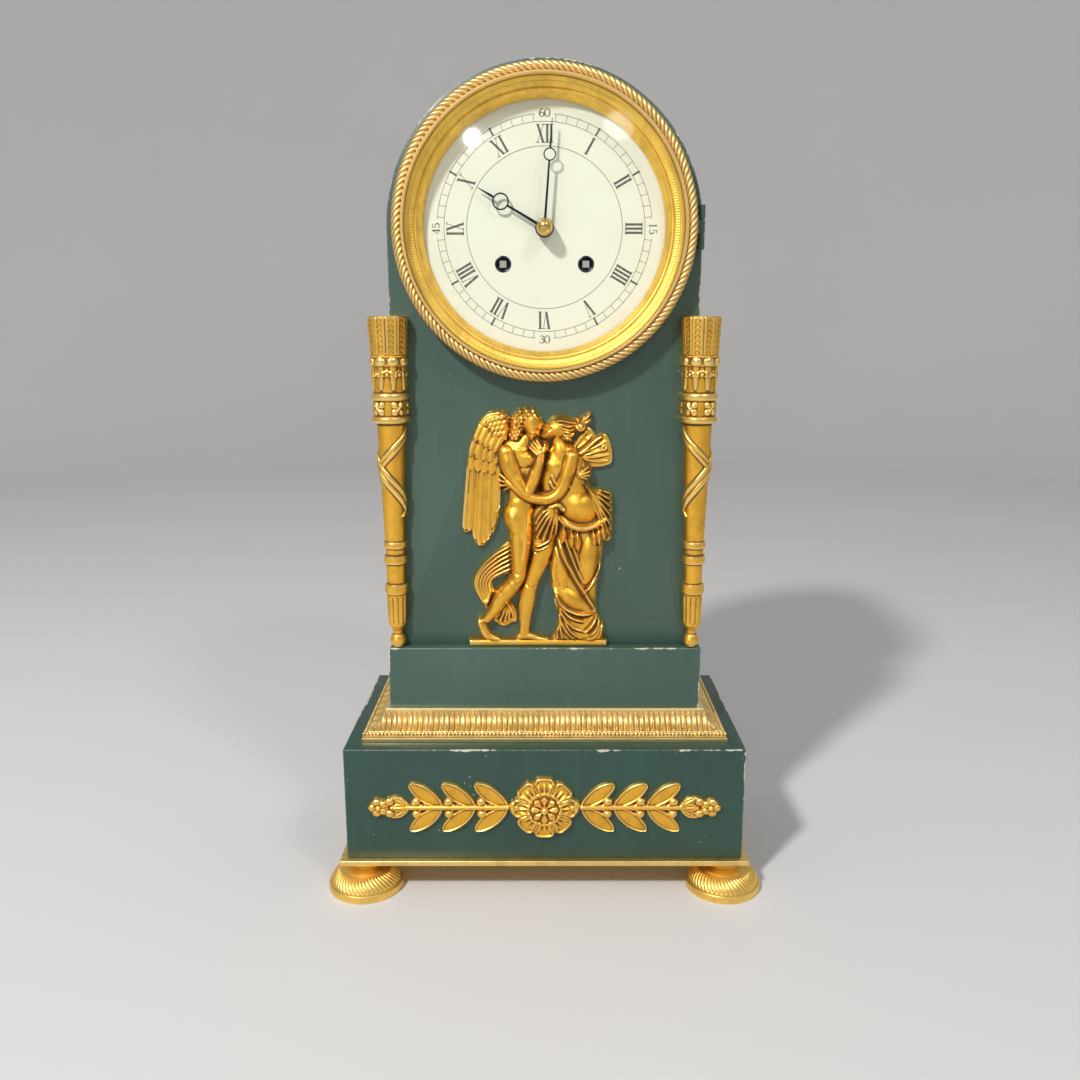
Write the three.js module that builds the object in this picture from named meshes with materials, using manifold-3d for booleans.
// Figural mantel clock: lacquered arched case on a plinth, gilt mounts, hinged glazed bezel,
// and an eight-day striking movement with a pendulum, reached by a round rear door.
// Millimetres, +Z up, front towards -Y. Origin: middle of the ground the feet stand on.

import * as THREE from 'three';
import { mergeVertices } from 'three/addons/utils/BufferGeometryUtils.js';
import Module from 'manifold-3d';

const wasm = await Module();
wasm.setup();

// Fits
const FIT = 0.3;
const THROUGH = 1;
const ROUND_SIDES = 24;

// Feet and plinth
const FOOT_RADIUS = 17.7;
const FOOT_HEIGHT = 15.4;
const FOOT_RIM = 3.6;
const FOOT_NECK = 7.6;
const FOOT_INSET = 10.5;
const BASE_PLATE_THICKNESS = 2.6;
const BASE_PLATE_LIP = 3.2;
const PLINTH_WIDTH = 186;
const PLINTH_DEPTH = 100;
const PLINTH_HEIGHT = 54.6;

// Pedestal block and the moulding round its foot
const BLOCK_WIDTH = 147.4;
const BLOCK_SETBACK = 20;
const BLOCK_HEIGHT = 42.4;
const MOULDING_REACH = 12;
const MOULDING_HEIGHT = 13;

// Arched case
const CASE_WIDTH = 138;
const CASE_SETBACK = 6;
const CASE_SPRING_HEIGHT = 190;
const CASE_WALL = 7;
const CASE_REBATE = 3;
const BACK_BOARD_THICKNESS = 6;

// Front bezel, glass and dial
const BEZEL_RADIUS = 65.8;
const ROPE_RADIUS = 2.2;
const BEZEL_DEPTH = 8.7;
const BEZEL_LIP = 1;
const GLASS_RADIUS = 60.2;
const GLASS_RISE = 13;
const GLASS_THICKNESS = 2;
const SIGHT_RADIUS = 52.8;
const DIAL_RADIUS = 56.4;
const DIAL_THICKNESS = 2;
const DIAL_BEHIND_FRONT = 1.7;
const DIAL_CENTRE_HOLE = 3.3;
const WINDING_HOLE = 3.2;
const RING_WALL = 1.9;
const RING_FLANGE = 2;
const HINGE_RADIUS = 1.8;
const HINGE_PIN = 0.8;
const HINGE_KNUCKLE = 6;

// Rear ring and door
const REAR_HOLE = 56.3;
const REAR_FLANGE_RADIUS = 60;
const REAR_FLANGE = 1.6;
const REAR_TUBE_WALL = 1.7;
const REAR_DOOR_RADIUS = 58.5;
const REAR_DOOR_WALL = 1.2;
const REAR_DOOR_RISE = 1.4;
const KNOB_RADIUS = 3.2;
const KNOB_LENGTH = 5;

// Movement frame
const PLATE_THICKNESS = 2;
const FRONT_PLATE_RADIUS = 52;
const BACK_PLATE_RADIUS = 48;
const PILLAR_RADIUS = 2.4;
const PILLAR_CIRCLE = 44;
const PILLAR_ANGLES = [40, 140, 220, 320];
const UNDER_DIAL = 7.3;
const ARBOR = 0.8;
const FINE_ARBOR = 0.5;
const WINDING_ARBOR = 1.6;
const STRAP_WIDTH = 9;
const STRAP_THICKNESS = 1.6;
const STRAP_FOOT = 7;

// Wheel work: tooth counts and modules
const BARREL_TEETH = 40;
const BARREL_PINION = 8;
const BARREL_MODULE = 0.825;
const INTERMEDIATE_TEETH = 42;
const CENTRE_PINION = 7;
const INTERMEDIATE_MODULE = 0.64;
const CENTRE_TEETH = 72;
const THIRD_PINION = 6;
const CENTRE_MODULE = 0.4;
const THIRD_TEETH = 84;
const ESCAPE_PINION = 6;
const THIRD_MODULE = 0.3;
const ESCAPE_TEETH = 30;
const ESCAPE_RADIUS = 10.5;
const CANNON_TEETH = 12;
const MINUTE_WHEEL_TEETH = 36;
const CANNON_MODULE = 0.5;
const MINUTE_PINION = 10;
const HOUR_WHEEL_TEETH = 40;
const SECOND_TEETH = 54;
const PIN_WHEEL_PINION = 6;
const SECOND_MODULE = 0.5;
const PIN_WHEEL_TEETH = 36;
const WARNING_PINION = 6;
const PIN_WHEEL_MODULE = 0.5;
const WARNING_TEETH = 36;
const FLY_PINION = 6;
const WARNING_MODULE = 0.45;
const WHEEL_THICKNESS = 1.2;
const PINION_LENGTH = 2.6;
const WINDING_SPREAD = 18.3;
const WINDING_DROP = 15;
const DRUM_WALL = 1.3;
const DRUM_CLEARANCE = 1.3;
const BARREL_END = 2;
const RATCHET_RADIUS = 6;
const RATCHET_TOOTH = 1.1;
const SPRING_STRIP = 0.5;
const SPRING_TURNS = 3;

// Hands: radii are distances from the centre
const MINUTE_ANGLE = 4.3;
const MINUTE_TIP = 44.5;
const MINUTE_EYE = 30;
const MINUTE_EYE_RADIUS = 2.7;
const HOUR_ANGLE = 300;
const HOUR_TIP = 33.5;
const HOUR_EYE = 22;
const HOUR_EYE_RADIUS = 3.65;
const HAND_THICKNESS = 0.8;
const HAND_BOSS = 4.8;
const COLLET_RADIUS = 3.6;
const COLLET_HEIGHT = 6.5;

// Pendulum, escapement and strike
const PENDULUM_LENGTH = 127;
const BOB_RADIUS = 18;
const BOB_THICKNESS = 9;
const ROD_RADIUS = 1;
const ROD_TAIL = 6;
const CHOP_HEIGHT = 5;
const CHOP_WIDTH = 6.8;
const CHOP_DEPTH = 2.8;
const SPRING_LENGTH = 13.7;
const SPRING_WIDTH = 6;
const COCK_WIDTH = 22;
const COCK_HEIGHT = 10;
const NUT_RADIUS = 3;
const NUT_HEIGHT = 3;
const CRUTCH_DROP = 26;
const PALLET_SPAN = 45;
const SUSPENSION_BEHIND_PLATE = 7;
const BELL_RADIUS = 28;
const BELL_DEPTH = 11.5;
const BELL_WALL = 1.6;
const BELL_X = 12;
const BELL_DROP = 4;
const BELL_BEHIND_PLATE = 11.5;
const BELL_STEM = 2;
const BELL_NUT = 2.6;
const BELL_ROOM = 8.4;
const HAMMER_HEAD = 3.2;
const HAMMER_REACH = 12.2;
const HAMMER_BEARING = 198;
const STRIKE_PINS = 10;
const PIN_CIRCLE = 7;
const FLY_SPAN = 14;
const COUNT_WHEEL_RADIUS = 13;

// Mounts
const TORCH_HEIGHT = 152.5;
const TORCH_AXIS_STAND_OFF = 2.9;
const LAUREL_HALF_LENGTH = 82;
const LAUREL_LEVEL = 0.487;
const ROSETTE_RADIUS = 15;
const ROSETTE_PETALS = 8;
const ROSETTE_STUB = 16;
const LEAF_LENGTH = 18;
const LEAF_WIDTH = 5.3;
const LEAF_ANGLE = 37;
const LEAF_PITCH = 15.4;
const LAUREL_RELIEF = 3.6;
const BERRY_RADIUS = 1.6;
const FIGURE_HEIGHT = 113.3;

// Levels and planes that follow from the sizes above
const plateTop = FOOT_HEIGHT + BASE_PLATE_THICKNESS;
const plinthTop = plateTop + PLINTH_HEIGHT;
const blockTop = plinthTop + BLOCK_HEIGHT;
const dialZ = blockTop + CASE_SPRING_HEIGHT;
const backY = PLINTH_DEPTH / 2;
const plinthFront = -PLINTH_DEPTH / 2;
const blockFront = plinthFront + BLOCK_SETBACK;
const caseFront = blockFront + CASE_SETBACK;
const boardFront = backY - BACK_BOARD_THICKNESS;
const ringFront = caseFront - RING_FLANGE;
const bezelBack = ringFront - FIT;
const bezelFront = bezelBack - BEZEL_DEPTH;
const dialFront = caseFront + DIAL_BEHIND_FRONT;
const dialBack = dialFront + DIAL_THICKNESS;
const frontPlateFront = dialBack + UNDER_DIAL;
const frontPlateBack = frontPlateFront + PLATE_THICKNESS;
const glassSeat = GLASS_RADIUS + FIT;
const ringInner = DIAL_RADIUS + 2 * FIT;
const ringOuter = ringInner + RING_WALL;
const torchX = CASE_WIDTH / 2 + FIT;

// The movement fills the depth from the dial to the rear door: the bell ends short of the door,
// the back plate stands before the bell, and the wheels share out the gap between the plates.
const rearDoorY = backY + REAR_FLANGE + FIT;
const bellCrown = rearDoorY + REAR_DOOR_RISE - BELL_ROOM - BELL_NUT - FIT;
const bellMouth = bellCrown - BELL_DEPTH;
const backPlateBack = bellMouth - BELL_BEHIND_PLATE;
const backPlateFront = backPlateBack - PLATE_THICKNESS;
const plateGap = backPlateFront - frontPlateBack;
const pendulumY = backPlateBack + SUSPENSION_BEHIND_PLATE;
const betweenPlates = (share) => frontPlateBack + share * plateGap;
const firstWheelY = betweenPlates(0.12);
const barrelWheelY = betweenPlates(0.25);
const escapeWheelY = betweenPlates(0.32);
const warningWheelY = betweenPlates(0.43);
const thirdWheelY = betweenPlates(0.536);
const pinWheelY = betweenPlates(0.68);
const centreWheelY = betweenPlates(0.868);
const drumFront = barrelWheelY + BARREL_END;
const drumBack = centreWheelY - DRUM_CLEARANCE;

const DEG = Math.PI / 180;

function finish(color, roughness, metalness) {
  return new THREE.MeshStandardMaterial({ color, roughness, metalness });
}

const gilt = finish(0xc9973a, 0.35, 1);
const lacquer = finish(0x45584d, 0.5, 0);
const clear = finish(0xffffff, 0.05, 0);
clear.transparent = true;
clear.opacity = 0.2;
const enamel = finish(0xeae8d8, 0.3, 0);
const blued = finish(0x1d2130, 0.35, 1);
const brass = finish(0xb98d45, 0.4, 1);
const steel = finish(0x8f9296, 0.4, 1);
const bellMetal = finish(0xb8a06a, 0.35, 1);
const wood = finish(0x5a4330, 0.7, 0);

// Solids from three.js geometry

function solid(geometry) {
  let bare = geometry.clone();
  bare.deleteAttribute('normal');
  bare.deleteAttribute('uv');
  bare = mergeVertices(bare, 1e-4);
  const position = bare.getAttribute('position').array;
  const index = bare.index.array;
  const kept = [];
  let sixVolumes = 0;
  const corner = (i) => new THREE.Vector3().fromArray(position, 3 * i);
  for (let i = 0; i < index.length; i += 3) {
    const [a, b, c] = [index[i], index[i + 1], index[i + 2]];
    if (a === b || b === c || a === c) continue;
    kept.push(a, b, c);
    sixVolumes += corner(a).dot(corner(b).cross(corner(c)));
  }
  if (sixVolumes < 0) kept.reverse();
  const mesh = new wasm.Mesh({
    numProp: 3,
    vertProperties: new Float32Array(position),
    triVerts: new Uint32Array(kept),
  });
  return new wasm.Manifold(mesh);
}

function union(solids) {
  return solids.reduce((whole, next) => whole.add(next));
}

function cut(body, tools) {
  return tools.reduce((rest, tool) => rest.subtract(tool), body);
}

function piece(name, body, material) {
  const made = body.getMesh();
  const geometry = new THREE.BufferGeometry();
  geometry.setAttribute('position', new THREE.BufferAttribute(made.vertProperties.slice(), 3));
  geometry.setIndex(new THREE.BufferAttribute(made.triVerts.slice(), 1));
  geometry.computeVertexNormals();
  const mesh = new THREE.Mesh(geometry, material);
  mesh.name = name;
  return mesh;
}

function box(x0, x1, y0, y1, z0, z1) {
  const shape = new THREE.BoxGeometry(x1 - x0, y1 - y0, z1 - z0);
  return solid(shape.translate((x0 + x1) / 2, (y0 + y1) / 2, (z0 + z1) / 2));
}

// Round bar along Y between two depths, at a place on the dial plane.
function bar(radius, y0, y1, [x, z] = [0, 0], sides = 6) {
  const shape = new THREE.CylinderGeometry(radius, radius, y1 - y0, sides);
  return solid(shape.translate(x, (y0 + y1) / 2, z));
}

// Round bar along Z.
function post(radius, z0, z1, [x, y], sides = 8) {
  const shape = new THREE.CylinderGeometry(radius, radius, z1 - z0, sides);
  return solid(shape.rotateX(Math.PI / 2).translate(x, y, (z0 + z1) / 2));
}

// Shape drawn in X and Z, given thickness along Y.
function slab(shape, y0, y1, curveSegments = 12) {
  const made = new THREE.ExtrudeGeometry(shape, { depth: y1 - y0, bevelEnabled: false, curveSegments });
  return solid(made.rotateX(Math.PI / 2).translate(0, y1, 0));
}

// Turned about Y: profile points are [radius, y].
function turned(profile, [x, z] = [0, 0], sides = ROUND_SIDES) {
  const points = profile.map(([r, y]) => new THREE.Vector2(r, y));
  return solid(new THREE.LatheGeometry(points, sides).translate(x, 0, z));
}

// Turned about Z: profile points are [radius, z].
function turnedUpright(profile, [x, y], sides) {
  const points = profile.map(([r, z]) => new THREE.Vector2(r, z));
  return solid(new THREE.LatheGeometry(points, sides).rotateX(Math.PI / 2).translate(x, y, 0));
}

function closed(profile) {
  return [...profile, profile[0]];
}

function polygon(points) {
  return new THREE.Shape(points.map(([x, z]) => new THREE.Vector2(x, z)));
}

// Feet: a plain rim, a dome that draws in to a neck under the plate.
function foot(name, x, y) {
  const profile = [
    [0, 0],
    [FOOT_RADIUS, 0],
    [FOOT_RADIUS, FOOT_RIM],
    [FOOT_RADIUS * 0.93, FOOT_RIM + 1.8],
    [FOOT_RADIUS * 0.7, FOOT_RIM + (FOOT_HEIGHT - FOOT_RIM) * 0.5],
    [FOOT_NECK * 1.15, FOOT_HEIGHT * 0.84],
    [FOOT_NECK, FOOT_HEIGHT],
    [0, FOOT_HEIGHT],
  ];
  return piece(name, turnedUpright(profile, [x, y], 20), gilt);
}

function plinthGroup() {
  const group = new THREE.Group();
  const halfWidth = PLINTH_WIDTH / 2;
  const lipX = halfWidth + BASE_PLATE_LIP;
  const lipY = backY + BASE_PLATE_LIP;
  const footX = lipX - FOOT_INSET;
  const footY = lipY - FOOT_INSET;
  for (const [side, x] of [['left', -footX], ['right', footX]]) {
    group.add(foot(`foot_front_${side}`, x, -footY));
    group.add(foot(`foot_rear_${side}`, x, footY));
  }
  group.add(piece('base_plate', box(-lipX, lipX, -lipY, lipY, FOOT_HEIGHT, plateTop), gilt));
  group.add(piece('plinth', box(-halfWidth, halfWidth, plinthFront, backY, plateTop, plinthTop), lacquer));
  const halfBlock = BLOCK_WIDTH / 2;
  const block = box(-halfBlock, halfBlock, blockFront, backY, plinthTop, blockTop);
  group.add(piece('pedestal_block', block, lacquer));
  return group;
}

// Solid between two rings of matching points, closed by flat ends.
function loft(ringA, ringB) {
  const count = ringA.length;
  const outline = ringA.map(([, , , u, v]) => new THREE.Vector2(u, v));
  const ends = THREE.ShapeUtils.triangulateShape(outline, []);
  const index = [];
  for (const [a, b, c] of ends) {
    index.push(a, b, c, c + count, b + count, a + count);
  }
  for (let i = 0; i < count; i += 1) {
    const next = (i + 1) % count;
    index.push(i, i + count, next, next, i + count, next + count);
  }
  const geometry = new THREE.BufferGeometry();
  const points = [...ringA, ...ringB].flatMap(([x, y, z]) => [x, y, z]);
  geometry.setAttribute('position', new THREE.Float32BufferAttribute(points, 3));
  geometry.setIndex(index);
  return solid(geometry);
}

// Moulding section: [reach out from the block, height]: double fillet, bead, cavetto, top fillet.
function mouldingSection() {
  const reach = MOULDING_REACH;
  const height = MOULDING_HEIGHT;
  const section = [[0, 0], [reach, 0], [reach, 1.8], [reach - 0.7, 1.8], [reach - 0.7, 3.4]];
  section.push([reach - 1.2, 3.7], [reach - 1, 4.6], [reach - 1.6, 5.3]);
  const start = [reach - 2.4, 5.3];
  const end = [1.6, height - 1.4];
  for (let step = 0; step <= 4; step += 1) {
    const angle = (step / 4) * 90 * DEG;
    const out = start[0] - (start[0] - end[0]) * Math.sin(angle);
    section.push([out, end[1] - (end[1] - start[1]) * Math.cos(angle)]);
  }
  section.push([1.6, height], [0, height]);
  return section;
}

function mouldings() {
  const group = new THREE.Group();
  const halfBlock = BLOCK_WIDTH / 2;
  const section = mouldingSection();
  const along = (place) => section.map(([out, up]) => [...place(out), plinthTop + up, out, up]);
  const front = loft(
    along((out) => [-halfBlock - out, blockFront - out]),
    along((out) => [halfBlock + out, blockFront - out]),
  );
  group.add(piece('moulding_front', front, gilt));
  for (const [name, side] of [['moulding_left', -1], ['moulding_right', 1]]) {
    const length = loft(
      along((out) => [side * (halfBlock + out), blockFront - out + FIT]),
      along((out) => [side * (halfBlock + out), backY]),
    );
    group.add(piece(name, length, gilt));
  }
  return group;
}

// Arch: a straight-sided outline closed by a half circle, in X and Z.
function arch(halfWidth, foot, crown) {
  const shape = new THREE.Shape();
  shape.moveTo(-halfWidth, foot);
  shape.lineTo(halfWidth, foot);
  shape.lineTo(halfWidth, crown);
  shape.absarc(0, crown, halfWidth, 0, Math.PI, false);
  shape.lineTo(-halfWidth, foot);
  return shape;
}

function caseGroup() {
  const group = new THREE.Group();
  const half = CASE_WIDTH / 2;
  const floor = blockTop + CASE_WALL;
  const inside = half - CASE_WALL;
  const rebate = inside + CASE_REBATE;
  const frontHole = ringOuter + FIT;
  const shell = cut(slab(arch(half, blockTop, dialZ), caseFront, backY, 14), [
    slab(arch(inside, floor, dialZ), caseFront + CASE_WALL, boardFront + THROUGH, 14),
    slab(arch(rebate, floor - CASE_REBATE, dialZ), boardFront, backY + THROUGH, 14),
    bar(frontHole, caseFront - THROUGH, caseFront + CASE_WALL + THROUGH, [0, dialZ], ROUND_SIDES),
  ]);
  group.add(piece('case_shell', shell, lacquer));
  const board = slab(arch(rebate - FIT, floor - CASE_REBATE + FIT, dialZ), boardFront, backY, 14);
  const hole = bar(REAR_HOLE, boardFront - THROUGH, backY + THROUGH, [0, dialZ], ROUND_SIDES);
  group.add(piece('back_board', board.subtract(hole), wood));
  return group;
}

// Torch: turned, flat where it lies against the case front. Profile is [height above the ledge, radius],
// drawn for a torch 152.5 tall.
function torch(name, side) {
  const profile = [
    [0, 2], [2.6, 3.7], [6.4, 2.4], [11, 4], [26.5, 4.4], [27.6, 5.2], [29.8, 5.2], [31, 4.25], [40.8, 4.25],
    [42.6, 5.25], [44.6, 4.45], [48, 4.45], [49.6, 5.25], [51.2, 4.45], [105, 6.2], [107, 8.4], [118.4, 8.4],
    [119.4, 7.15], [131, 7.15], [132.6, 8.75], [135.2, 8], [152.5, 9],
  ];
  const unit = TORCH_HEIGHT / 152.5;
  const upright = profile.map(([height, radius]) => [unit * radius, blockTop + unit * height]);
  const top = upright[upright.length - 1][1];
  const closedProfile = [[0, blockTop], ...upright, [0, top]];
  const axisY = caseFront - TORCH_AXIS_STAND_OFF;
  const whole = turnedUpright(closedProfile, [side * torchX, axisY], 10);
  const reach = CASE_WIDTH;
  const behind = box(-reach, reach, caseFront, backY, blockTop - THROUGH, top + THROUGH);
  return piece(name, whole.subtract(behind), gilt);
}

// Laurel mount: a rosette of broad petals with a raised ring and a knob, and two sprays of paired leaves.
function rosette(centreZ) {
  const petal = [[-0.5, 0.8], [-0.4, 0.94], [-0.2, 1], [0.2, 1], [0.4, 0.94]];
  const outline = [];
  for (let i = 0; i < ROSETTE_PETALS; i += 1) {
    for (const [turn, share] of petal) {
      const angle = ((i + turn) / ROSETTE_PETALS) * 2 * Math.PI;
      const radius = share * ROSETTE_RADIUS;
      outline.push([radius * Math.cos(angle), centreZ + radius * Math.sin(angle)]);
    }
  }
  const face = plinthFront - LAUREL_RELIEF;
  const [stubFoot, stubTop] = [centreZ - BERRY_RADIUS, centreZ + BERRY_RADIUS];
  const stub = box(-ROSETTE_STUB, ROSETTE_STUB, face + 1.2, plinthFront, stubFoot, stubTop);
  const crown = turned([
    [0, plinthFront],
    [11.6, plinthFront],
    [11.6, face + 0.6],
    [9.6, face - 0.8],
    [6, face - 0.2],
    [5, face - 1.6],
    [2.6, face - 2.6],
    [0, face - 2.8],
  ], [0, centreZ], 14);
  return piece('rosette', union([slab(polygon(outline), face + 1.2, plinthFront), stub, crown]), gilt);
}

function leaf(x, z, angle, length, width) {
  const half = width / 2;
  const outline = [[0, 0], [0.3, 0.8], [0.62, 0.95], [1, 0], [0.62, -0.95], [0.3, -0.8]];
  const turn = ([along, across]) => [
    x + along * length * Math.cos(angle) - across * half * Math.sin(angle),
    z + along * length * Math.sin(angle) + across * half * Math.cos(angle),
  ];
  return slab(polygon(outline.map(turn)), plinthFront - LAUREL_RELIEF * 0.7, plinthFront);
}

function laurelSpray(name, side, centreZ) {
  const start = ROSETTE_STUB + FIT;
  const budStart = start + 3 * LEAF_PITCH;
  const parts = [];
  const stem = [[side * start, -1.2], [side * budStart, -0.7], [side * budStart, 0.7], [side * start, 1.2]];
  const stemOutline = polygon(stem.map(([x, z]) => [x, centreZ + z]));
  parts.push(slab(stemOutline, plinthFront - LAUREL_RELIEF * 0.6, plinthFront));
  const toward = side > 0 ? 0 : Math.PI;
  for (let pair = 0; pair < 3; pair += 1) {
    const x = side * (start + 1.4 + pair * LEAF_PITCH);
    for (const up of [1, -1]) {
      const angle = toward + up * side * LEAF_ANGLE * DEG;
      parts.push(leaf(x + up * 0.21, centreZ + up * 0.37, angle, LEAF_LENGTH, LEAF_WIDTH));
      const berry = new THREE.OctahedronGeometry(BERRY_RADIUS).rotateX(0.5).rotateY(0.4);
      berry.translate(x + side * LEAF_PITCH * 0.72, plinthFront - 1.15, centreZ + up * (BERRY_RADIUS + 0.17));
      parts.push(solid(berry));
    }
  }
  const tip = side * budStart;
  for (const spread of [-13, 0, 13]) {
    const angle = toward + spread * DEG;
    const root = tip - side * (1.2 + Math.abs(spread) * 0.04);
    const length = LAUREL_HALF_LENGTH - side * root;
    parts.push(leaf(root, centreZ + side * spread * 0.06, angle, length, LEAF_WIDTH));
  }
  const behind = box(-PLINTH_WIDTH, PLINTH_WIDTH, plinthFront, backY, plateTop, plinthTop);
  return piece(name, union(parts).subtract(behind), gilt);
}

// Relief of two figures: limbs and drapery as tapered round forms, cut flat at the case front.
// Places are [x, height above the ledge, how far the middle stands off the case front], drawn 113.3 tall.
const figureUnit = FIGURE_HEIGHT / 113.3;
const RELIEF = {
  youthHead: [-8.6, 107.4, 3.6],
  youthShoulder: [-19.3, 93.6, 3.4],
  youthElbow: [-9.4, 75.4, 6],
  youthHand: [-1.6, 95.3, 5],
  youthChest: [-15.5, 88, 2.6],
  youthWaist: [-15.3, 74, 2.4],
  youthHip: [-13, 64.5, 2.6],
  youthKnee: [-11.9, 32.7, 4.6],
  youthAnkle: [-29.6, 13.9, 2.6],
  youthToes: [-22.9, 4.4, 2],
  youthFarKnee: [-6.8, 30, 2],
  youthFarAnkle: [-11.1, 7, 1.6],
  youthFarToes: [-1.8, 4, 1.6],
  womanHead: [6.1, 104.3, 3.6],
  womanHair: [14, 106.6, 2.2],
  womanShoulder: [10.4, 91.4, 3.4],
  womanElbow: [6.6, 72.3, 5.8],
  womanHand: [-18.4, 75.6, 5.4],
  womanChest: [9.2, 85, 2.6],
  womanHip: [13.8, 66, 3],
  womanKnee: [9.4, 34, 3.6],
  womanFoot: [21.4, 4, 2],
  womanHeel: [26, 9.4, 1.6],
  hemLeft: [7.2, 5, 2.2],
  hemRight: [19, 10, 2],
};

// Tapered form with round ends between two places, flattened a little against the case.
function limb(fromName, toName, radiusA, radiusB) {
  const place = ([x, up, off]) => new THREE.Vector3(x, -off, up).multiplyScalar(figureUnit);
  const a = place(RELIEF[fromName]);
  const b = place(RELIEF[toName]);
  const length = a.distanceTo(b);
  const [ra, rb] = [radiusA * figureUnit, radiusB * figureUnit];
  const outline = [[0, -ra * 0.8], [ra, 0], [rb, length], [0, length + rb * 0.8]];
  const profile = outline.map(([radius, along]) => new THREE.Vector2(radius, along));
  const shape = new THREE.LatheGeometry(profile, 6);
  const turn = new THREE.Quaternion().setFromUnitVectors(
    new THREE.Vector3(0, 1, 0),
    b.clone().sub(a).normalize(),
  );
  shape.applyQuaternion(turn);
  return solid(shape.translate(a.x, caseFront + a.y, blockTop + a.z));
}

function oval(name, radiusX, radiusY, radiusZ) {
  const [x, up, off] = RELIEF[name];
  const shape = new THREE.SphereGeometry(1, 8, 5);
  shape.scale(radiusX, radiusY, radiusZ).translate(x, -off, up).scale(figureUnit, figureUnit, figureUnit);
  return solid(shape.translate(0, caseFront, blockTop));
}

function sheet(outline, thickness) {
  const drawn = outline.map(([x, up]) => [x * figureUnit, blockTop + up * figureUnit]);
  return slab(polygon(drawn), caseFront - thickness * figureUnit, caseFront);
}

function figureMount() {
  const youth = [
    oval('youthHead', 5.4, 4.8, 6.2),
    limb('youthHead', 'youthChest', 2.8, 5),
    limb('youthShoulder', 'youthWaist', 5, 5.4),
    limb('youthChest', 'youthHip', 5.4, 6),
    limb('youthShoulder', 'youthElbow', 3.4, 2.5),
    limb('youthElbow', 'youthHand', 2.3, 1.7),
    limb('youthHip', 'youthKnee', 6, 3.8),
    limb('youthKnee', 'youthAnkle', 3.6, 1.9),
    limb('youthAnkle', 'youthToes', 2, 1.5),
    limb('youthHip', 'youthFarKnee', 5.4, 3.4),
    limb('youthFarKnee', 'youthFarAnkle', 3.2, 1.9),
    limb('youthFarAnkle', 'youthFarToes', 1.9, 1.4),
  ];
  const woman = [
    oval('womanHead', 4.8, 4.6, 5.8),
    limb('womanHead', 'womanHair', 4, 3),
    limb('womanHead', 'womanChest', 2.4, 5),
    limb('womanShoulder', 'womanElbow', 3.2, 2.4),
    limb('womanElbow', 'womanHand', 2.3, 1.6),
    limb('womanChest', 'womanHip', 5.4, 6.6),
    limb('womanHip', 'womanKnee', 7, 5),
    limb('womanHip', 'hemRight', 6.6, 4.6),
    limb('womanKnee', 'hemLeft', 4.8, 3.4),
    limb('womanHeel', 'womanFoot', 1.9, 1.4),
    limb('hemRight', 'womanHeel', 3.6, 1.8),
  ];
  const wing = sheet([[-17, 94], [-20, 106], [-24.1, 111.5], [-29, 108], [-35.2, 89], [-38.2, 60],
    [-37.4, 53], [-31.3, 48.5], [-26, 53], [-21.9, 61], [-17, 78]], 3.4);
  const scarf = sheet([[-16, 50], [-22, 49], [-31, 41], [-34.6, 33], [-33, 26], [-29.6, 21], [-22, 12],
    [-18.6, 9], [-17.6, 13], [-24, 22], [-28, 30], [-26, 37], [-17, 43]], 2.2);
  const loincloth = sheet([[-10, 64], [-2, 66], [3.5, 62], [5, 48], [-1, 44], [-7, 47]], 4.4);
  const butterflyWing = sheet([[12, 97], [20, 101.5], [27.3, 101.2], [30.6, 91], [28.4, 86.5], [19.3, 85.5],
    [12, 88]], 2);
  const drape = sheet([[14, 76], [22, 74], [31.4, 65], [31, 58], [28.2, 53.5], [24.6, 31], [17, 30]], 3);
  const ground = sheet([[-35.6, 0], [30, 0], [30, 3.6], [-35.6, 3.6]], 4.2);
  const whole = union([...youth, ...woman, wing, scarf, loincloth, butterflyWing, drape, ground]);
  const wide = CASE_WIDTH;
  const behind = box(-wide, wide, caseFront, backY, blockTop - CASE_WALL, dialZ);
  const below = box(-wide, wide, caseFront - wide, backY, blockTop - 2 * CASE_WALL, blockTop);
  return piece('figure_mount', cut(whole, [behind, below]), gilt);
}

// Bezel parts are made about the dial centre and placed by the group that holds them.

// Upright hinge: knuckles round a pin beside a ring; tabs join the knuckles to the ring.
function knuckle(x, y, z0, z1) {
  return post(HINGE_RADIUS, z0, z1, [x, y]);
}

function hingeBands() {
  const half = HINGE_KNUCKLE / 2;
  return {
    middle: [-half, half],
    outer: [[-half - FIT - HINGE_KNUCKLE, -half - FIT], [half + FIT, half + FIT + HINGE_KNUCKLE]],
  };
}

function fixedHinge(x, y, tab) {
  const { outer } = hingeBands();
  const parts = outer.map(([z0, z1]) => knuckle(x, y, z0, z1).add(tab(z0, z1)));
  parts.push(post(HINGE_PIN, outer[0][1] - THROUGH, outer[1][0] + THROUGH, [x, y], 8));
  return parts;
}

function movingHinge(x, y, tab) {
  const [z0, z1] = hingeBands().middle;
  const bore = HINGE_PIN + FIT;
  const clearPin = post(bore, z0 - THROUGH, z1 + THROUGH, [x, y]);
  return knuckle(x, y, z0, z1).add(tab(z0, z1)).subtract(clearPin);
}

const bezelHingeX = BEZEL_RADIUS + HINGE_RADIUS + FIT;
const bezelHingeY = bezelBack - HINGE_RADIUS + 0.6;

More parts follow.
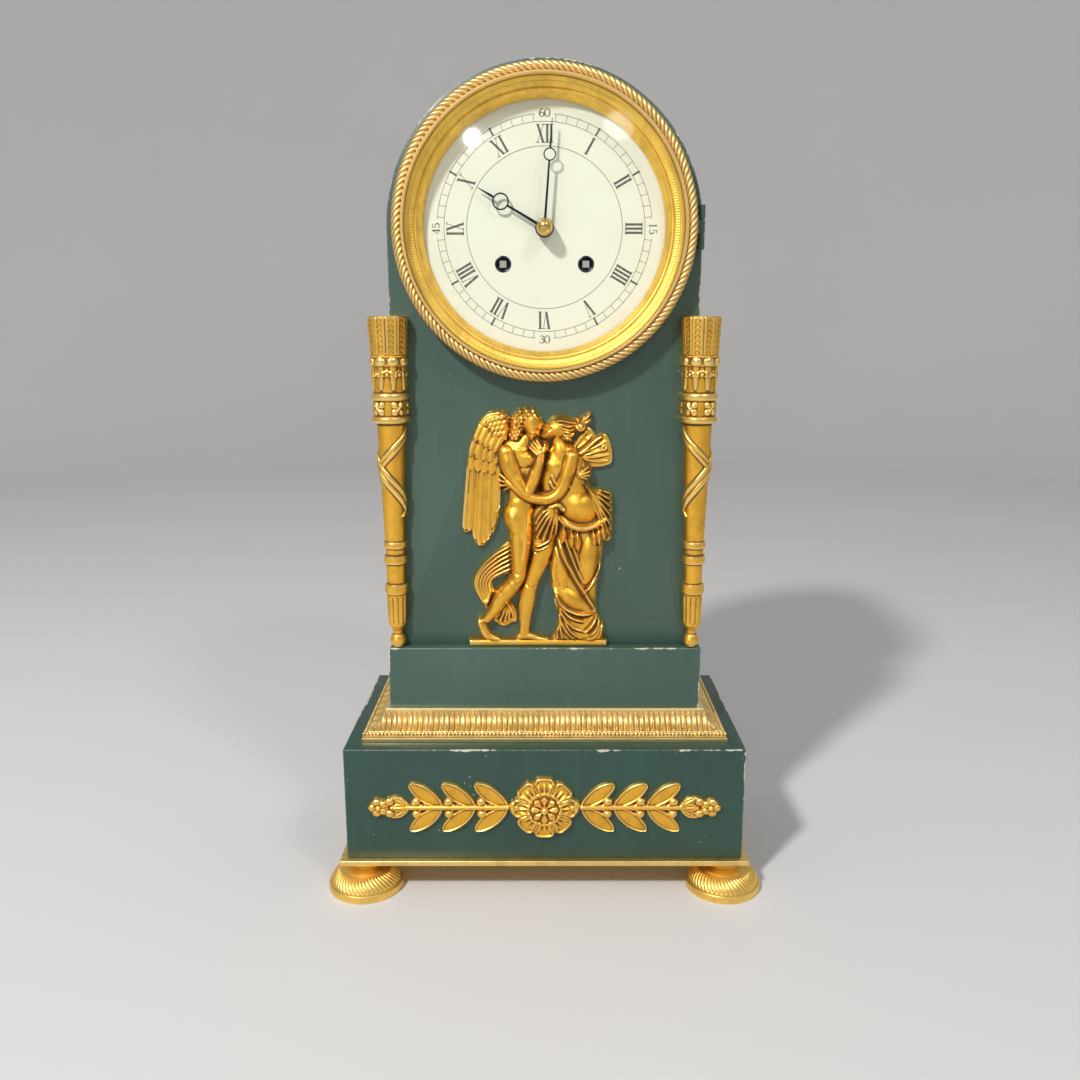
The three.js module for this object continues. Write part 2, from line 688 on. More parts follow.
function dialRing() {
  const flangeRadius = BEZEL_RADIUS - HINGE_RADIUS;
  const shelfInner = FRONT_PLATE_RADIUS - 4;
  const ring = turned(closed([
    [ringInner, ringFront],
    [flangeRadius, ringFront],
    [flangeRadius, caseFront],
    [ringOuter, caseFront],
    [ringOuter, frontPlateBack + RING_FLANGE],
    [shelfInner, frontPlateBack + RING_FLANGE],
    [shelfInner, frontPlateBack],
    [ringInner, frontPlateBack],
  ]));
  const tab = (z0, z1) => box(flangeRadius - 3, bezelHingeX, ringFront, caseFront - FIT, z0, z1);
  return piece('dial_ring', union([ring, ...fixedHinge(bezelHingeX, bezelHingeY, tab)]), brass);
}

const bezelLedge = bezelBack - 3.1;
const sightFlange = 1.5;

function bezelRing() {
  const ropeMiddle = BEZEL_RADIUS - ROPE_RADIUS;
  const ropeY = bezelFront + 3.1;
  const body = BEZEL_RADIUS - 2.6;
  const lipOuter = glassSeat + BEZEL_LIP;
  const profile = [[glassSeat - 2, bezelBack], [body, bezelBack], [body, ropeY + ROPE_RADIUS - 0.2]];
  for (let step = 0; step <= 3; step += 1) {
    const angle = (70 - step * 60) * DEG;
    profile.push([ropeMiddle + ROPE_RADIUS * Math.cos(angle), ropeY + ROPE_RADIUS * Math.sin(angle)]);
  }
  profile.push([lipOuter, ropeY - 1.6], [lipOuter, bezelFront], [glassSeat, bezelFront]);
  profile.push([glassSeat, bezelLedge], [glassSeat - 2, bezelLedge]);
  const tab = (z0, z1) => box(body - 1.5, bezelHingeX, bezelHingeY - HINGE_RADIUS, bezelHingeY - 0.2, z0, z1);
  const hinge = movingHinge(bezelHingeX, bezelHingeY, tab);
  return piece('bezel_ring', turned(closed(profile)).add(hinge), gilt);
}

function glassDome() {
  const seatBack = bezelLedge - sightFlange;
  const edgeFront = seatBack - GLASS_THICKNESS;
  const sphere = (GLASS_RADIUS ** 2 + GLASS_RISE ** 2) / (2 * GLASS_RISE);
  const rise = (r) => Math.sqrt(sphere ** 2 - r ** 2) - (sphere - GLASS_RISE);
  const steps = 5;
  const outer = [];
  const inner = [];
  for (let i = 0; i <= steps; i += 1) {
    const r = (GLASS_RADIUS * i) / steps;
    outer.push([r, edgeFront - rise(r)]);
    inner.push([r, seatBack - rise(r)]);
  }
  return piece('glass', turned([...outer, ...inner.reverse()]), clear);
}

function sightRing() {
  const outer = glassSeat - FIT;
  const front = bezelLedge - sightFlange;
  const back = dialFront - 0.7;
  const profile = [[outer, front], [outer - 1.6, front]];
  for (let step = 1; step <= 3; step += 1) {
    const angle = (step / 3) * 90 * DEG;
    const rim = SIGHT_RADIUS + 1;
    const start = outer - 1.6;
    const radius = start - (start - rim) * Math.sin(angle);
    profile.push([radius, back - 1.4 + (front - back + 1.4) * Math.cos(angle)]);
  }
  profile.push([SIGHT_RADIUS, back - 1], [SIGHT_RADIUS, back], [SIGHT_RADIUS + 1.6, back]);
  profile.push([outer - 3.4, bezelLedge + 1.8], [outer - 2.4, bezelLedge], [outer, bezelLedge]);
  return piece('sight_ring', turned(closed(profile)), gilt);
}

const goingPlace = [WINDING_SPREAD, -WINDING_DROP];
const strikePlace = [-WINDING_SPREAD, -WINDING_DROP];

function dialPlate() {
  const footRadius = 1.2;
  const edge = [[DIAL_RADIUS, dialFront + 0.4], [DIAL_RADIUS, dialBack]];
  const plate = turned([[0, dialFront], ...edge, [0, dialBack]]);
  const holes = [[[0, 0], DIAL_CENTRE_HOLE], [goingPlace, WINDING_HOLE], [strikePlace, WINDING_HOLE]];
  const bores = holes.map(([place, r]) => bar(r, dialFront - THROUGH, dialBack + THROUGH, place, 12));
  const pierced = cut(plate, bores);
  const feet = [90, 210, 330].map((angle) => {
    const place = polar(PILLAR_CIRCLE, angle);
    return bar(footRadius, dialBack - 0.5, frontPlateFront, place);
  });
  return piece('dial_plate', union([pierced, ...feet]), enamel);
}

// Rear ring with strap lugs, and the round door hung on it.
const rearHingeX = REAR_FLANGE_RADIUS + HINGE_RADIUS + FIT;
const rearHingeY = backY + HINGE_RADIUS + FIT;
const rearTubeInner = REAR_HOLE - FIT - REAR_TUBE_WALL;
const strapOuter = FRONT_PLATE_RADIUS + 1;
const strapFootBack = boardFront - RING_FLANGE - FIT;

function rearRing() {
  const ring = turned(closed([
    [rearTubeInner, boardFront],
    [REAR_HOLE - FIT, boardFront],
    [REAR_HOLE - FIT, backY],
    [REAR_FLANGE_RADIUS, backY],
    [REAR_FLANGE_RADIUS, backY + REAR_FLANGE],
    [rearTubeInner, backY + REAR_FLANGE],
  ]));
  const lugs = [-1, 1].map((side) => {
    const near = side * (strapOuter - STRAP_FOOT);
    const far = side * (rearTubeInner + 0.8);
    const half = STRAP_WIDTH / 2;
    return box(Math.min(near, far), Math.max(near, far), boardFront - RING_FLANGE, boardFront + 1, -half, half);
  });
  const tab = (z0, z1) => box(REAR_FLANGE_RADIUS - 3, rearHingeX, backY + FIT, backY + REAR_FLANGE, z0, z1);
  return piece('rear_ring', union([ring, ...lugs, ...fixedHinge(rearHingeX, rearHingeY, tab)]), brass);
}

function rearDoor() {
  const rim = rearDoorY + REAR_DOOR_WALL;
  const crown = rim + REAR_DOOR_RISE;
  const flat = REAR_DOOR_RADIUS - 4.5;
  const disc = turned([
    [0, crown - REAR_DOOR_WALL],
    [flat * 0.6, crown - REAR_DOOR_WALL - 0.5],
    [flat, rearDoorY],
    [REAR_DOOR_RADIUS, rearDoorY],
    [REAR_DOOR_RADIUS, rim + 0.6],
    [REAR_DOOR_RADIUS - 2, rim + 1.2],
    [flat, rim],
    [flat * 0.6, crown - 0.5],
    [0, crown],
  ]);
  const tab = (z0, z1) => box(REAR_DOOR_RADIUS - 2, rearHingeX, rearDoorY + 0.2, rim + 0.4, z0, z1);
  return piece('rear_door', disc.add(movingHinge(rearHingeX, rearHingeY, tab)), brass);
}

function rearDoorKnob() {
  const seat = rearDoorY + REAR_DOOR_WALL + 1.2;
  const x = -(REAR_DOOR_RADIUS - 2);
  return piece('rear_door_knob', turned([
    [0, seat],
    [KNOB_RADIUS * 0.5, seat],
    [KNOB_RADIUS * 0.45, seat + KNOB_LENGTH * 0.4],
    [KNOB_RADIUS, seat + KNOB_LENGTH * 0.65],
    [KNOB_RADIUS * 0.8, seat + KNOB_LENGTH * 0.95],
    [0, seat + KNOB_LENGTH],
  ], [x, 0], 12), brass);
}

// Places of the arbors on the plates, from the pitch radii of the wheels that mesh.

function polar(radius, degrees) {
  return [radius * Math.cos(degrees * DEG), radius * Math.sin(degrees * DEG)];
}

function offset([x, z], radius, degrees) {
  const [dx, dz] = polar(radius, degrees);
  return [x + dx, z + dz];
}

function centres(teethA, teethB, module) {
  return ((teethA + teethB) * module) / 2;
}

// The point at two given distances from two places, on the left of the way from the first to the second.
function meeting([ax, az], distanceA, [bx, bz], distanceB) {
  const span = Math.hypot(bx - ax, bz - az);
  const along = (distanceA ** 2 - distanceB ** 2 + span ** 2) / (2 * span);
  const aside = Math.sqrt(distanceA ** 2 - along ** 2);
  const [ux, uz] = [(bx - ax) / span, (bz - az) / span];
  return [ax + along * ux - aside * uz, az + along * uz + aside * ux];
}

const escapeDrop = ESCAPE_RADIUS / Math.cos(PALLET_SPAN * DEG);
const centrePlace = [0, 0];
const palletPlace = [0, BACK_PLATE_RADIUS - 8];
const escapePlace = [0, palletPlace[1] - escapeDrop];
const intermediatePlace = meeting(
  centrePlace, centres(INTERMEDIATE_TEETH, CENTRE_PINION, INTERMEDIATE_MODULE),
  goingPlace, centres(BARREL_TEETH, BARREL_PINION, BARREL_MODULE),
);
const thirdPlace = meeting(
  centrePlace, centres(CENTRE_TEETH, THIRD_PINION, CENTRE_MODULE),
  escapePlace, centres(THIRD_TEETH, ESCAPE_PINION, THIRD_MODULE),
);
const minuteWheelPlace = [0, -centres(CANNON_TEETH, MINUTE_WHEEL_TEETH, CANNON_MODULE)];
const secondPlace = offset(strikePlace, centres(BARREL_TEETH, BARREL_PINION, BARREL_MODULE), 130);
const pinWheelPlace = offset(secondPlace, centres(SECOND_TEETH, PIN_WHEEL_PINION, SECOND_MODULE), 85);
const warningPlace = offset(pinWheelPlace, centres(PIN_WHEEL_TEETH, WARNING_PINION, PIN_WHEEL_MODULE), 50);
const flyPlace = offset(warningPlace, centres(WARNING_TEETH, FLY_PINION, WARNING_MODULE), 95);
const hammerPlace = offset(pinWheelPlace, HAMMER_REACH, HAMMER_BEARING);
const bellPlace = [BELL_X, -BELL_DROP];

// Depths of the motion work under the dial.
const motionY = frontPlateFront - 2.8;
const hourWheelY = frontPlateFront - 5.4;

// Toothed outline. Leaves of small pinions are slim, so that they clear the wheel's teeth as they turn.
function toothed(teeth, module, phase, [x, z]) {
  const slim = teeth < 13;
  const pitchRadius = (teeth * module) / 2;
  const tip = pitchRadius + module * (slim ? 0.5 : 0.75);
  const root = pitchRadius - module * (slim ? 1.15 : 0.95);
  const step = (2 * Math.PI) / teeth;
  const outline = [];
  const tooth = [[root, -step / 2], [tip, 0]];
  const leaf = [[root, -step * 0.27], [tip, 0], [root, step * 0.27]];
  for (let i = 0; i < teeth; i += 1) {
    const middle = phase + i * step;
    for (const [radius, angle] of slim ? leaf : tooth) {
      outline.push([x + radius * Math.cos(middle + angle), z + radius * Math.sin(middle + angle)]);
    }
  }
  return polygon(outline);
}

// Phase that sets a gap of one wheel on the tooth of the other.
function meshPhase([ax, az], teethA, phaseA, [bx, bz], teethB) {
  const line = Math.atan2(bz - az, bx - ax);
  const share = ((line - phaseA) * teethA) / (2 * Math.PI);
  return line + Math.PI - ((0.5 - share) * 2 * Math.PI) / teethB;
}

function wheel(teeth, module, phase, place, y, thickness = WHEEL_THICKNESS) {
  return slab(toothed(teeth, module, phase, place), y, y + thickness);
}

// Pinion centred on the thickness of the wheel that drives it.
function pinion(teeth, module, phase, place, wheelY, wheelThickness = WHEEL_THICKNESS) {
  const y0 = wheelY + wheelThickness / 2 - PINION_LENGTH / 2;
  return slab(toothed(teeth, module, phase, place), y0, y0 + PINION_LENGTH);
}

function arborBar(place, radius = ARBOR, rear = backPlateBack - 0.5) {
  return bar(radius, frontPlateFront + 0.5, rear, place);
}

function plates() {
  const group = new THREE.Group();
  const strikeArbors = [secondPlace, pinWheelPlace, warningPlace, flyPlace, hammerPlace];
  const pivots = [intermediatePlace, thirdPlace, ...strikeArbors].map((place) => [place, ARBOR]);
  pivots.push([escapePlace, FINE_ARBOR], [palletPlace, ARBOR], [centrePlace, ARBOR]);
  pivots.push([goingPlace, WINDING_ARBOR], [strikePlace, WINDING_ARBOR]);
  const holes = (y0, y1) => pivots.map(([place, radius]) => bar(radius + 1.6 * FIT, y0, y1, place, 6));
  const pillarsAt = PILLAR_ANGLES.map((angle) => polar(PILLAR_CIRCLE, angle));
  const pillars = pillarsAt.map((place) => bar(PILLAR_RADIUS, frontPlateBack, backPlateFront, place, 8));
  const frontDisc = bar(FRONT_PLATE_RADIUS, frontPlateFront, frontPlateBack, centrePlace, ROUND_SIDES);
  const front = cut(frontDisc, holes(frontPlateFront - THROUGH, frontPlateBack + THROUGH));
  const minutePost = bar(ARBOR, hourWheelY - 1, frontPlateFront, minuteWheelPlace);
  group.add(piece('front_plate', union([front, ...pillars, minutePost]), brass));
  const backDisc = bar(BACK_PLATE_RADIUS, backPlateFront, backPlateBack, centrePlace, ROUND_SIDES);
  const back = cut(backDisc, holes(backPlateFront - THROUGH, backPlateBack + THROUGH));
  group.add(piece('back_plate', back, brass));
  return group;
}

// Straps from the dial ring to the lugs of the rear ring, each with its end bent inwards.
function strap(name, side) {
  const front = frontPlateBack + RING_FLANGE;
  const half = STRAP_WIDTH / 2;
  const across = (a, b) => [Math.min(side * a, side * b), Math.max(side * a, side * b)];
  const inner = strapOuter - STRAP_THICKNESS;
  const leg = box(...across(inner, strapOuter), front, strapFootBack, -half, half);
  const heelFront = strapFootBack - STRAP_THICKNESS;
  const heel = box(...across(strapOuter - STRAP_FOOT, inner + 0.5), heelFront, strapFootBack, -half, half);
  return piece(name, leg.add(heel), brass);
}

const cannonPipe = ARBOR + FIT + 0.7;
const hourPipe = cannonPipe + FIT + 0.6;
const minuteHandY = dialFront - 4.4;
const hourHandY = dialFront - 2.3;

function ring(outer, inner, y0, y1, place = [0, 0], sides = 14) {
  return turned(closed([[inner, y0], [outer, y0], [outer, y1], [inner, y1]]), place, sides);
}

// Hand with a round eye: a boss with a hole, a slim tapering arm, the eye ring and a pointed tip.
// Drawn pointing up, then turned to its hour.
function handShape(bore, eye, eyeRadius, tip, armHalf) {
  const width = 0.9;
  const y0 = -HAND_THICKNESS;
  const parts = [ring(HAND_BOSS, bore, y0, 0, [0, 0], 12)];
  const eyeInner = eyeRadius - width;
  const root = [armHalf * 1.3, HAND_BOSS - 0.6];
  const end = [armHalf, eye - eyeInner - 0.3];
  const arm = [[-root[0], root[1]], root, end, [-end[0], end[1]]];
  parts.push(slab(polygon(arm), y0, 0));
  parts.push(ring(eyeRadius, eyeInner, y0, 0, [0, eye], 12));
  const neck = [armHalf * 1.1, eye + eyeInner + 0.3];
  const point = [[-neck[0], neck[1]], neck, [0.12, tip], [-0.12, tip]];
  parts.push(slab(polygon(point), y0, 0));
  return union(parts);
}

function hands() {
  const group = new THREE.Group();
  const minute = piece('minute_hand',
    handShape(cannonPipe + FIT, MINUTE_EYE, MINUTE_EYE_RADIUS, MINUTE_TIP, 0.5), blued);
  minute.position.y = minuteHandY;
  minute.rotation.y = MINUTE_ANGLE * DEG;
  const hour = piece('hour_hand', handShape(hourPipe + FIT, HOUR_EYE, HOUR_EYE_RADIUS, HOUR_TIP, 0.6), blued);
  hour.position.y = hourHandY;
  hour.rotation.y = HOUR_ANGLE * DEG;
  group.add(minute, hour);
  const seat = minuteHandY - HAND_THICKNESS - FIT;
  group.add(piece('hand_collet', turned([
    [0, seat],
    [COLLET_RADIUS, seat],
    [COLLET_RADIUS, seat - 1.4],
    [COLLET_RADIUS * 0.72, seat - COLLET_HEIGHT * 0.5],
    [COLLET_RADIUS * 0.5, seat - COLLET_HEIGHT * 0.86],
    [0, seat - COLLET_HEIGHT],
  ], [0, 0], 14), brass));
  return group;
}

function motionWork() {
  const group = new THREE.Group();
  const pipeFront = minuteHandY - HAND_THICKNESS;
  const cannon = pinion(CANNON_TEETH, CANNON_MODULE, 0, centrePlace, motionY)
    .add(bar(cannonPipe, pipeFront, motionY, centrePlace, 10));
  const bore = bar(ARBOR + FIT, pipeFront - THROUGH, frontPlateFront, centrePlace);
  group.add(piece('cannon_pinion', cannon.subtract(bore), steel));
  const wheelPhase = meshPhase(centrePlace, CANNON_TEETH, 0, minuteWheelPlace, MINUTE_WHEEL_TEETH);
  const apart = CANNON_MODULE * (CANNON_TEETH + MINUTE_WHEEL_TEETH);
  const pinionModule = apart / (MINUTE_PINION + HOUR_WHEEL_TEETH);
  const minute = wheel(MINUTE_WHEEL_TEETH, CANNON_MODULE, wheelPhase, minuteWheelPlace, motionY)
    .add(slab(toothed(MINUTE_PINION, pinionModule, 0, minuteWheelPlace), hourWheelY - 0.3, motionY));
  const minuteBore = bar(ARBOR + FIT, hourWheelY - THROUGH, frontPlateFront, minuteWheelPlace);
  group.add(piece('minute_wheel', minute.subtract(minuteBore), brass));
  const hourPhase = meshPhase(minuteWheelPlace, MINUTE_PINION, 0, centrePlace, HOUR_WHEEL_TEETH);
  const hour = wheel(HOUR_WHEEL_TEETH, pinionModule, hourPhase, centrePlace, hourWheelY)
    .add(bar(hourPipe, hourHandY - HAND_THICKNESS, hourWheelY + 0.5, centrePlace, 12));
  const hourBore = bar(cannonPipe + FIT, hourHandY - 2, hourWheelY + 2, centrePlace, 12);
  group.add(piece('hour_wheel', hour.subtract(hourBore), brass));
  return group;
}

// Spring barrel: a toothed end and a drum, hollow for the spring, bored for the winding arbor.
const drumRadius = (BARREL_TEETH * BARREL_MODULE) / 2 - BARREL_MODULE * 1.1;

function springBarrel(name, place, phase) {
  const whole = wheel(BARREL_TEETH, BARREL_MODULE, phase, place, barrelWheelY, BARREL_END)
    .add(bar(drumRadius, barrelWheelY + 0.5, drumBack, place, 24));
  const room = bar(drumRadius - DRUM_WALL, drumFront, drumBack - DRUM_WALL, place, 24);
  const bore = bar(WINDING_ARBOR + 1.4 * FIT, barrelWheelY - THROUGH, drumBack + THROUGH, place);
  return piece(name, cut(whole, [room, bore]), brass);
}

function mainspring(name, [x, z]) {
  const inner = WINDING_ARBOR + 2 * FIT;
  const outer = (drumRadius - DRUM_WALL) * Math.cos(Math.PI / 24) - FIT - SPRING_STRIP;
  const steps = SPRING_TURNS * 9;
  const strip = (radiusShift) => {
    const line = [];
    for (let i = 0; i <= steps; i += 1) {
      const radius = inner + ((outer - inner) * i) / steps + radiusShift;
      const angle = (i / steps) * SPRING_TURNS * 2 * Math.PI;
      line.push([x + radius * Math.cos(angle), z + radius * Math.sin(angle)]);
    }
    return line;
  };
  const y0 = drumFront + 2 * FIT;
  const y1 = drumBack - DRUM_WALL - 2 * FIT;
  return piece(name, slab(polygon([...strip(0), ...strip(SPRING_STRIP).reverse()]), y0, y1), steel);
}

// Winding arbor: round through the plates and the barrel, squared for the key, ratchet under the dial.
function windingArbor(name, place) {
  const [x, z] = place;
  const half = WINDING_ARBOR * 0.92;
  const ratchetY = frontPlateFront - 2.4;
  const square = box(x - half, x + half, dialFront + 0.6, ratchetY, z - half, z + half);
  const shaft = bar(WINDING_ARBOR, ratchetY - 0.5, backPlateBack - 0.5, place, 10);
  const saw = [];
  const teeth = 12;
  for (let i = 0; i < teeth; i += 1) {
    for (const [radius, share] of [[RATCHET_RADIUS, 0], [RATCHET_RADIUS - RATCHET_TOOTH, 0.12]]) {
      const angle = ((i + share) / teeth) * 2 * Math.PI;
      saw.push([x + radius * Math.cos(angle), z + radius * Math.sin(angle)]);
    }
  }
  return piece(name, union([square, shaft, slab(polygon(saw), ratchetY, ratchetY + 1.2)]), steel);
}

function goingTrain() {
  const group = new THREE.Group();
  group.add(springBarrel('going_barrel', goingPlace, 0));
  group.add(mainspring('going_mainspring', goingPlace));
  group.add(windingArbor('going_winding_arbor', goingPlace));

  const firstPinion = meshPhase(goingPlace, BARREL_TEETH, 0, intermediatePlace, BARREL_PINION);
  group.add(piece('intermediate_wheel', union([
    pinion(BARREL_PINION, BARREL_MODULE, firstPinion, intermediatePlace, barrelWheelY, BARREL_END),
    wheel(INTERMEDIATE_TEETH, INTERMEDIATE_MODULE, 0, intermediatePlace, firstWheelY),
    arborBar(intermediatePlace),
  ]), brass));

  const centrePinion = meshPhase(intermediatePlace, INTERMEDIATE_TEETH, 0, centrePlace, CENTRE_PINION);
  group.add(piece('centre_wheel', union([
    pinion(CENTRE_PINION, INTERMEDIATE_MODULE, centrePinion, centrePlace, firstWheelY),
    wheel(CENTRE_TEETH, CENTRE_MODULE, 0, centrePlace, centreWheelY),
    bar(ARBOR, minuteHandY - HAND_THICKNESS, backPlateBack - 0.5, centrePlace),
  ]), brass));

  const thirdPinion = meshPhase(centrePlace, CENTRE_TEETH, 0, thirdPlace, THIRD_PINION);
  group.add(piece('third_wheel', union([
    pinion(THIRD_PINION, CENTRE_MODULE, thirdPinion, thirdPlace, centreWheelY),
    wheel(THIRD_TEETH, THIRD_MODULE, 0, thirdPlace, thirdWheelY),
    arborBar(thirdPlace, FINE_ARBOR),
  ]), brass));

  const escapePinion = meshPhase(thirdPlace, THIRD_TEETH, 0, escapePlace, ESCAPE_PINION);
  group.add(piece('escape_wheel', union([
    pinion(ESCAPE_PINION, THIRD_MODULE, escapePinion, escapePlace, thirdWheelY),
    escapeTeeth(),
    arborBar(escapePlace, FINE_ARBOR),
  ]), brass));
  group.add(pallets());
  return group;
}

function escapeTeeth() {
  const outline = [];
  for (let i = 0; i < ESCAPE_TEETH; i += 1) {
    for (const [radius, share] of [[ESCAPE_RADIUS, 0], [ESCAPE_RADIUS - 2.4, 0.35]]) {
      const [x, z] = polar(radius, ((i + share) * 360) / ESCAPE_TEETH);
      outline.push([escapePlace[0] + x, escapePlace[1] + z]);
    }
  }
  return slab(polygon(outline), escapeWheelY, escapeWheelY + WHEEL_THICKNESS);
}

// Anchor on its arbor with the crutch behind the back plate; the crutch's fork holds the pendulum rod.
// The nibs stand clear of the wheel's tips, so that the two can turn on their own.
function pallets() {
  const [x, z] = palletPlace;
  const clear = ESCAPE_RADIUS + 1.1;
  const nibs = [PALLET_SPAN + 90, 90 - PALLET_SPAN].map((angle) => {
    const near = polar(clear, angle);
    const far = polar(clear + 3, angle);
    const [ex, ez] = escapePlace;
    return [[ex + near[0], ez + near[1]], [ex + far[0], ez + far[1]]];
  });
  const [[leftNear, leftFar], [rightNear, rightFar]] = nibs;
  const shoulder = [[x + 2, z + 2], [x - 2, z + 2]];
  const anchor = polygon([leftNear, [x, z - 2.2], rightNear, rightFar, ...shoulder, leftFar]);
  const crutchY = backPlateBack + 1.2;
  const slot = ROD_RADIUS + FIT;
  const arm = box(x - slot - 0.8, x + slot + 0.8, crutchY, crutchY + 1.2, z - CRUTCH_DROP, z);
  const fork = [-1, 1].map((side) => {
    const inner = side * slot;
    const outer = side * (slot + 0.8);
    return box(x + Math.min(inner, outer), x + Math.max(inner, outer), crutchY, pendulumY + 2, z - CRUTCH_DROP,
      z - CRUTCH_DROP + 2.4);
  });
  const parts = [
    slab(anchor, escapeWheelY, escapeWheelY + WHEEL_THICKNESS),
    bar(ARBOR, frontPlateFront + 0.5, crutchY + 1.2, palletPlace),
    arm,
    ...fork,
  ];
  return piece('pallets_and_crutch', union(parts), steel);
}

function strikeTrain() {
  const group = new THREE.Group();
  group.add(springBarrel('strike_barrel', strikePlace, 0));
  group.add(mainspring('strike_mainspring', strikePlace));
  group.add(windingArbor('strike_winding_arbor', strikePlace));

  const firstPinion = meshPhase(strikePlace, BARREL_TEETH, 0, secondPlace, BARREL_PINION);
  const countY = backPlateBack + 1;
  group.add(piece('strike_second_wheel', union([
    pinion(BARREL_PINION, BARREL_MODULE, firstPinion, secondPlace, barrelWheelY, BARREL_END),
    wheel(SECOND_TEETH, SECOND_MODULE, 0, secondPlace, firstWheelY),
    arborBar(secondPlace, ARBOR, countY + 2.4),
  ]), brass));
  group.add(countWheel(countY));

  const pinPhase = meshPhase(secondPlace, SECOND_TEETH, 0, pinWheelPlace, PIN_WHEEL_PINION);
  const pins = [];
  const pinEnd = pinWheelY + WHEEL_THICKNESS + 1.6;
  for (let i = 0; i < STRIKE_PINS; i += 1) {
    const place = offset(pinWheelPlace, PIN_CIRCLE, (i * 360) / STRIKE_PINS);
    pins.push(bar(FINE_ARBOR, pinWheelY + 0.5, pinEnd, place, 4));
  }
  group.add(piece('pin_wheel', union([
    pinion(PIN_WHEEL_PINION, SECOND_MODULE, pinPhase, pinWheelPlace, firstWheelY),
    wheel(PIN_WHEEL_TEETH, PIN_WHEEL_MODULE, 0, pinWheelPlace, pinWheelY),
    arborBar(pinWheelPlace),
    ...pins,
  ]), brass));

  const warningPhase = meshPhase(pinWheelPlace, PIN_WHEEL_TEETH, 0, warningPlace, WARNING_PINION);
  group.add(piece('warning_wheel', union([
    pinion(WARNING_PINION, PIN_WHEEL_MODULE, warningPhase, warningPlace, pinWheelY),
    wheel(WARNING_TEETH, WARNING_MODULE, 0, warningPlace, warningWheelY),
    arborBar(warningPlace),
  ]), brass));

  const flyPhase = meshPhase(warningPlace, WARNING_TEETH, 0, flyPlace, FLY_PINION);
  const [flyX, flyZ] = flyPlace;
  const vane = FLY_SPAN / 2;
  group.add(piece('fly', union([
    pinion(FLY_PINION, WARNING_MODULE, flyPhase, flyPlace, warningWheelY),
    box(flyX - vane, flyX + vane, warningWheelY + 4, backPlateFront - 2, flyZ - 0.35, flyZ + 0.35),
    arborBar(flyPlace),
  ]), brass));
  group.add(hammer());
  return group;
}

// Count wheel: slots in its edge at the ends of the strokes for each hour and half hour.
function countWheel(y) {
  const [x, z] = secondPlace;
  const blows = 90;
  const outline = [];
  let count = 0;
  for (let hour = 1; hour <= 12; hour += 1) {
    const start = count;
    count += hour + 1;
    const slotStart = count - 1.35;
    const rim = COUNT_WHEEL_RADIUS;
    const slot = rim - 1.6;
    const middle = (start + slotStart) / 2;
    const notch = [[slot, slotStart + 0.2], [slot, count - 0.2]];
    for (const [radius, at] of [[rim, start], [rim, middle], [rim, slotStart], ...notch]) {
      const [dx, dz] = polar(radius, (at / blows) * 360);
      outline.push([x + dx, z + dz]);
    }
  }
  const bore = bar(ARBOR + FIT, y - THROUGH, y + 2 * THROUGH + WHEEL_THICKNESS, secondPlace);
  return piece('count_wheel', slab(polygon(outline), y, y + WHEEL_THICKNESS).subtract(bore), brass);
}

// Hammer: an arbor through both plates, a short tail beside the pins, and an arm to the bell's rim.
function hammer() {
  const armY = bellMouth + 1;
  const head = offset(bellPlace, BELL_RADIUS + HAMMER_HEAD + 0.6, 170);
  const [hx, hz] = hammerPlace;
  const direction = Math.atan2(head[1] - hz, head[0] - hx);
  const side = ([px, pz], half) => [px - half * Math.sin(direction), pz + half * Math.cos(direction)];
  const arm = polygon([side(hammerPlace, -0.9), side(head, -0.6), side(head, 0.6), side(hammerPlace, 0.9)]);
  const tailTip = offset(pinWheelPlace, PIN_CIRCLE + 1, HAMMER_BEARING);
  const [tx, tz] = tailTip;
  const tail = polygon([[hx, hz - 1], [tx, tz - 0.5], [tx, tz + 0.5], [hx, hz + 1]]);
  const tailY = pinWheelY + WHEEL_THICKNESS + 0.4;
  return piece('strike_hammer', union([
    arborBar(hammerPlace, ARBOR, armY + 2),
    slab(arm, armY, armY + 1.6),
    bar(HAMMER_HEAD, armY - 1, armY + 4, head, 10),
    slab(tail, tailY, tailY + 1.2),
  ]), steel);
}

function bellAndStand() {
  const group = new THREE.Group();
  const steps = 4;
  const outer = [];
  const inner = [];
  for (let i = 0; i <= steps; i += 1) {
    const angle = (i / steps) * 84 * DEG;
    outer.push([BELL_RADIUS * Math.cos(angle), bellMouth + BELL_DEPTH * Math.sin(angle)]);
    const lining = BELL_RADIUS - BELL_WALL;
    inner.push([lining * Math.cos(angle), bellMouth + (BELL_DEPTH - BELL_WALL) * Math.sin(angle)]);
  }
  const bore = BELL_STEM + FIT;
  const crownHole = [[bore, bellCrown], [bore, bellCrown - BELL_WALL]];
  const profile = [...outer, ...crownHole, ...inner.reverse()];
  group.add(piece('bell', turned(closed(profile), bellPlace, 20), bellMetal));
  const under = bellCrown - BELL_WALL - FIT;
  const above = bellCrown + FIT;
  group.add(piece('bell_stand', turned([
    [0, backPlateBack],
    [BELL_STEM * 2, backPlateBack],
    [BELL_STEM * 2, backPlateBack + 2],
    [BELL_STEM, backPlateBack + 4],
    [BELL_STEM, under - 3],
    [BELL_STEM * 1.8, under - 1.6],
    [BELL_STEM * 1.8, under],
    [BELL_STEM, under],
    [BELL_STEM, above],
    [BELL_STEM * 1.7, above],
    [BELL_STEM * 1.3, above + BELL_NUT * 0.77],
    [0, above + BELL_NUT],
  ], bellPlace, 10), brass));
  return group;
}

